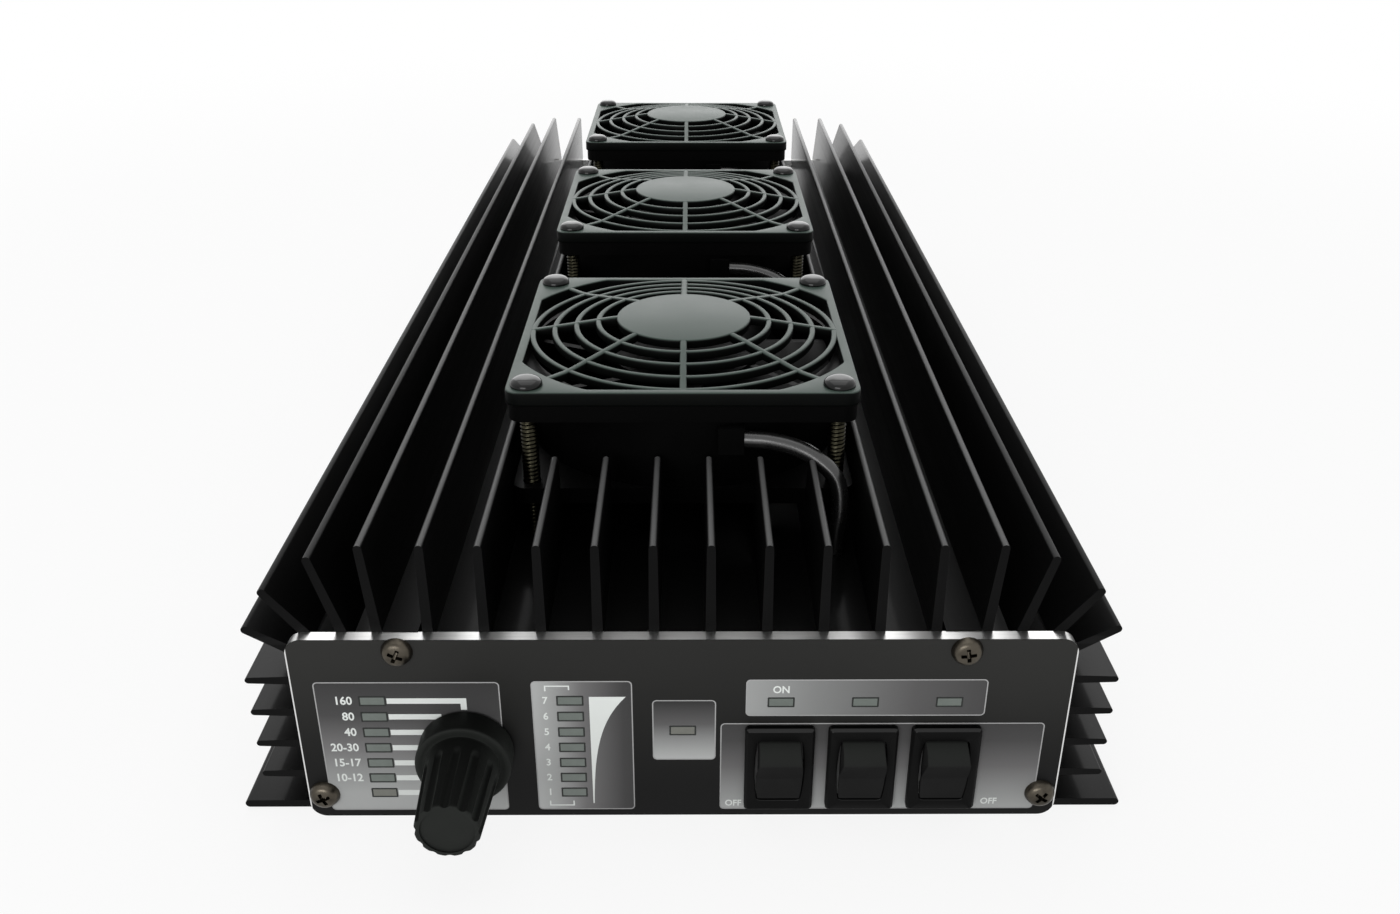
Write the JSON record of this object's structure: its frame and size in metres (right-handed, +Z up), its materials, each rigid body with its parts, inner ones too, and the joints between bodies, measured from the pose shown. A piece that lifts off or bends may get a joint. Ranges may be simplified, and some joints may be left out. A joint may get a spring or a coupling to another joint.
{
  "type": "hf linear amplifier",
  "caption": "Desktop radio-frequency power amplifier: long finned black heat-sink case with guarded cooling fans on top, band knob, rocker switches and bar lights on the front panel.",
  "frame": {"origin": "centre of the flat underside that the amplifier rests on", "axes": "+X to the right seen from the front, +Y from the front panel to the rear panel, +Z up"},
  "size_m": [0.1964, 0.4614, 0.0869],
  "materials": {
    "anodised_black": "black anodised extrusion, satin",
    "panel_print": "screen-printed aluminium, semi-matte charcoal",
    "dark_screw": "dark bronze finish",
    "bright_screw": "zinc plated",
    "fan_plastic": "moulded black",
    "guard_plastic": "moulded black, satin",
    "cap_plastic": "moulded black, glossy",
    "sleeve": "black sleeving",
    "switch_metal": "nickel plated",
    "knob_plastic": "matt black",
    "switch_plastic": "moulded black, satin",
    "light_green": "unlit tinted lens",
    "light_olive": "unlit tinted lens",
    "circuit_board": "green solder mask",
    "brass": "bare",
    "ferrite": "dark ferrite",
    "powder_core": "painted powder iron",
    "relay_plastic": "moulded, light",
    "can": "sleeved aluminium can",
    "ceramic": "ceramic and gilt flange",
    "connector": "moulded, natural",
    "socket_metal": "nickel plated",
    "gland_plastic": "black nylon"
  },
  "bodies": {
    "chassis": {"heat_sink": "anodised_black", "front_panel": "panel_print", "front_panel_screws": "dark_screw", "rear_panel": "panel_print", "rear_panel_screws": "dark_screw", "bottom_cover": "anodised_black", "cover_screws": "dark_screw", "fan_frame_1": "fan_plastic", "fan_frame_2": "fan_plastic", "fan_frame_3": "fan_plastic", "fan_guard_1": "guard_plastic", "fan_guard_2": "guard_plastic", "fan_guard_3": "guard_plastic", "fan_screws": "bright_screw", "screw_caps": "cap_plastic", "fan_lead_1": "sleeve", "fan_lead_2": "sleeve", "fan_lead_3": "sleeve", "rotary_switch": "switch_metal", "switch_nut": "switch_metal", "switch_washer": "switch_metal", "switch_bezel_1": "switch_plastic", "switch_bezel_2": "switch_plastic", "switch_bezel_3": "switch_plastic", "band_lights": "light_green", "power_lights": "light_green", "warning_light": "light_olive", "status_lights": "light_green", "display_board": "circuit_board", "display_posts": "switch_metal", "main_board": "circuit_board", "filter_board": "circuit_board", "board_spacers": "brass", "board_screws": "bright_screw", "fan_connectors": "connector", "power_transistors": "ceramic", "transistor_screws": "bright_screw", "input_transformer": "ferrite", "output_transformer": "ferrite", "supply_choke": "powder_core", "capacitors": "can", "bypass_relays": "relay_plastic", "filter_coils": "powder_core", "filter_relays": "relay_plastic", "input_socket": "socket_metal", "output_socket": "socket_metal", "socket_screws": "bright_screw", "control_jack": "socket_metal", "control_jack_nut": "switch_metal", "cable_gland": "gland_plastic", "gland_nut": "gland_plastic"},
    "knob": {"knob": "knob_plastic", "switch_shaft": "switch_metal"},
    "rocker_1": {"rocker_1": "switch_plastic"},
    "fan_rotor_1": {"fan_rotor_1": "fan_plastic"},
    "rocker_2": {"rocker_2": "switch_plastic"},
    "fan_rotor_2": {"fan_rotor_2": "fan_plastic"},
    "rocker_3": {"rocker_3": "switch_plastic"},
    "fan_rotor_3": {"fan_rotor_3": "fan_plastic"}
  },
  "joints": [
    {"name": "knob_turn", "type": "hinge", "parent": "chassis", "child": "knob", "pos_m": [-0.0466, -0.215, 0.0191], "axis": [0, 1, 0], "range_deg": [-90, 90]},
    {"name": "rocker_1_press", "type": "hinge", "parent": "chassis", "child": "rocker_1", "pos_m": [0.0209, -0.20935, 0.014], "axis": [-1, 0, 0], "range_deg": [0, 40]},
    {"name": "rocker_2_press", "type": "hinge", "parent": "chassis", "child": "rocker_2", "pos_m": [0.0388, -0.20935, 0.014], "axis": [-1, 0, 0], "range_deg": [0, 40]},
    {"name": "rocker_3_press", "type": "hinge", "parent": "chassis", "child": "rocker_3", "pos_m": [0.0567, -0.20935, 0.014], "axis": [-1, 0, 0], "range_deg": [0, 40]},
    {"name": "fan_1_spin", "type": "hinge", "parent": "chassis", "child": "fan_rotor_1", "pos_m": [0, -0.1245, 0.066], "axis": [0, 0, 1], "continuous": true},
    {"name": "fan_2_spin", "type": "hinge", "parent": "chassis", "child": "fan_rotor_2", "pos_m": [0, 0, 0.066], "axis": [0, 0, 1], "continuous": true},
    {"name": "fan_3_spin", "type": "hinge", "parent": "chassis", "child": "fan_rotor_3", "pos_m": [0, 0.1245, 0.066], "axis": [0, 0, 1], "continuous": true}
  ]
}
